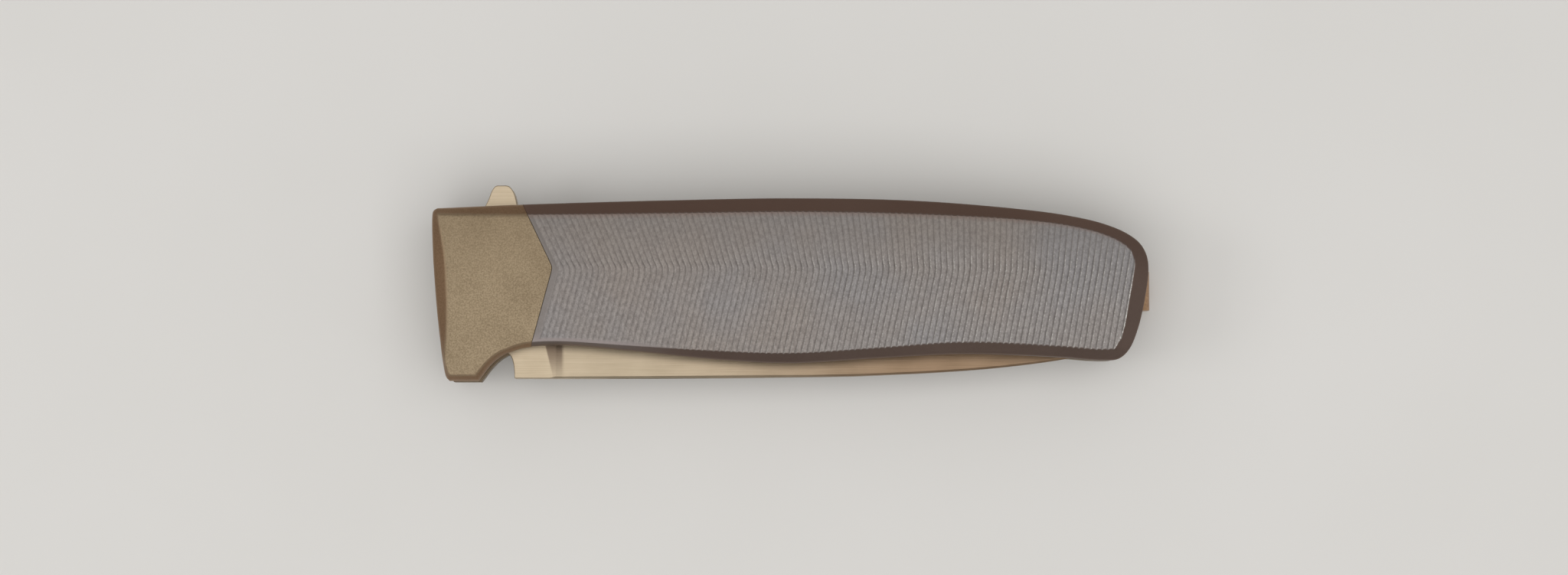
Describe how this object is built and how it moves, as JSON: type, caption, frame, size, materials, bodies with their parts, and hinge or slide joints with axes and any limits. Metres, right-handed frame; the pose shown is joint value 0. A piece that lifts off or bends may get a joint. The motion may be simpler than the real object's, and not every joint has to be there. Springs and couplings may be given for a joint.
{
  "type": "folding flipper knife",
  "caption": "Folding flipper knife, closed: metal bolster with a V joint, chevron-ribbed scale, frame lock, ball-bearing pivot and folded pocket clip.",
  "frame": {"origin": "middle of the underside of the whole knife, lying clip side down", "axes": "+X towards the butt, +Y towards the flipper side, +Z out of the show side"},
  "size_m": [0.1188, 0.0322, 0.0171],
  "materials": {
    "bolster": "bead-blasted titanium, bronze anodised",
    "scale": "blasted titanium with machined chevron ribs and a dark smooth bevel",
    "frame": "bead-blasted titanium",
    "spacer": "blasted titanium",
    "clip": "bead-blasted titanium, bronze anodised",
    "blade": "satin, brushed along the blade",
    "hardware": "plain steel",
    "cage": "satin"
  },
  "bodies": {
    "handle": {"front_bolster": "bolster", "front_scale": "scale", "front_liner": "frame", "back_frame": "frame", "backspacer": "spacer", "stop_pin": "hardware", "pivot_barrel": "hardware", "pivot_screw": "hardware", "front_bearing_race": "hardware", "back_bearing_race": "hardware", "clip_base": "clip", "body_screw_1": "hardware", "body_screw_2": "hardware", "body_screw_3": "hardware", "bolster_screw_1": "hardware", "bolster_screw_2": "hardware", "scale_screw_1": "hardware", "scale_screw_2": "hardware", "scale_screw_3": "hardware", "clip_screw_1": "hardware", "clip_screw_2": "hardware"},
    "blade": {"blade": "blade"},
    "front_bearing": {"front_bearing_cage": "cage", "front_bearing_ball_1": "hardware", "front_bearing_ball_2": "hardware", "front_bearing_ball_3": "hardware", "front_bearing_ball_4": "hardware", "front_bearing_ball_5": "hardware", "front_bearing_ball_6": "hardware", "front_bearing_ball_7": "hardware", "front_bearing_ball_8": "hardware"},
    "back_bearing": {"back_bearing_cage": "cage", "back_bearing_ball_1": "hardware", "back_bearing_ball_2": "hardware", "back_bearing_ball_3": "hardware", "back_bearing_ball_4": "hardware", "back_bearing_ball_5": "hardware", "back_bearing_ball_6": "hardware", "back_bearing_ball_7": "hardware", "back_bearing_ball_8": "hardware"},
    "lock_bar": {"lock_bar": "frame", "lock_insert": "hardware", "lock_insert_screw_1": "hardware", "lock_insert_screw_2": "hardware", "detent_ball": "hardware"},
    "clip_arm": {"clip_arm": "clip"}
  },
  "joints": [
    {"name": "blade_pivot", "type": "hinge", "parent": "handle", "child": "blade", "pos_m": [-0.05057, -0.00195, 0.01019], "axis": [0, 0, -1], "range_deg": [0, 180]},
    {"name": "front_bearing_spin", "type": "hinge", "parent": "handle", "child": "front_bearing", "pos_m": [-0.05057, -0.00195, 0.01294], "axis": [0, 0, -1], "range_deg": [0, 90]},
    {"name": "back_bearing_spin", "type": "hinge", "parent": "handle", "child": "back_bearing", "pos_m": [-0.05057, -0.00195, 0.00744], "axis": [0, 0, -1], "range_deg": [0, 90]},
    {"name": "lock_bar_flex", "type": "hinge", "parent": "handle", "child": "lock_bar", "pos_m": [0.00918, -0.00745, 0.00729], "axis": [0, -1, 0], "range_deg": [0, 1], "stiffness_Nm_per_rad": 15, "springref_deg": -2.01},
    {"name": "clip_flex", "type": "hinge", "parent": "handle", "child": "clip_arm", "pos_m": [0.05697, -0.00075, 0.00249], "axis": [0, -1, 0], "range_deg": [0, 3], "stiffness_Nm_per_rad": 12, "springref_deg": -0.57}
  ],
  "couplings": [
    {"joint": "front_bearing_spin", "follows": "blade_pivot", "ratio": 0.5},
    {"joint": "back_bearing_spin", "follows": "blade_pivot", "ratio": 0.5}
  ]
}
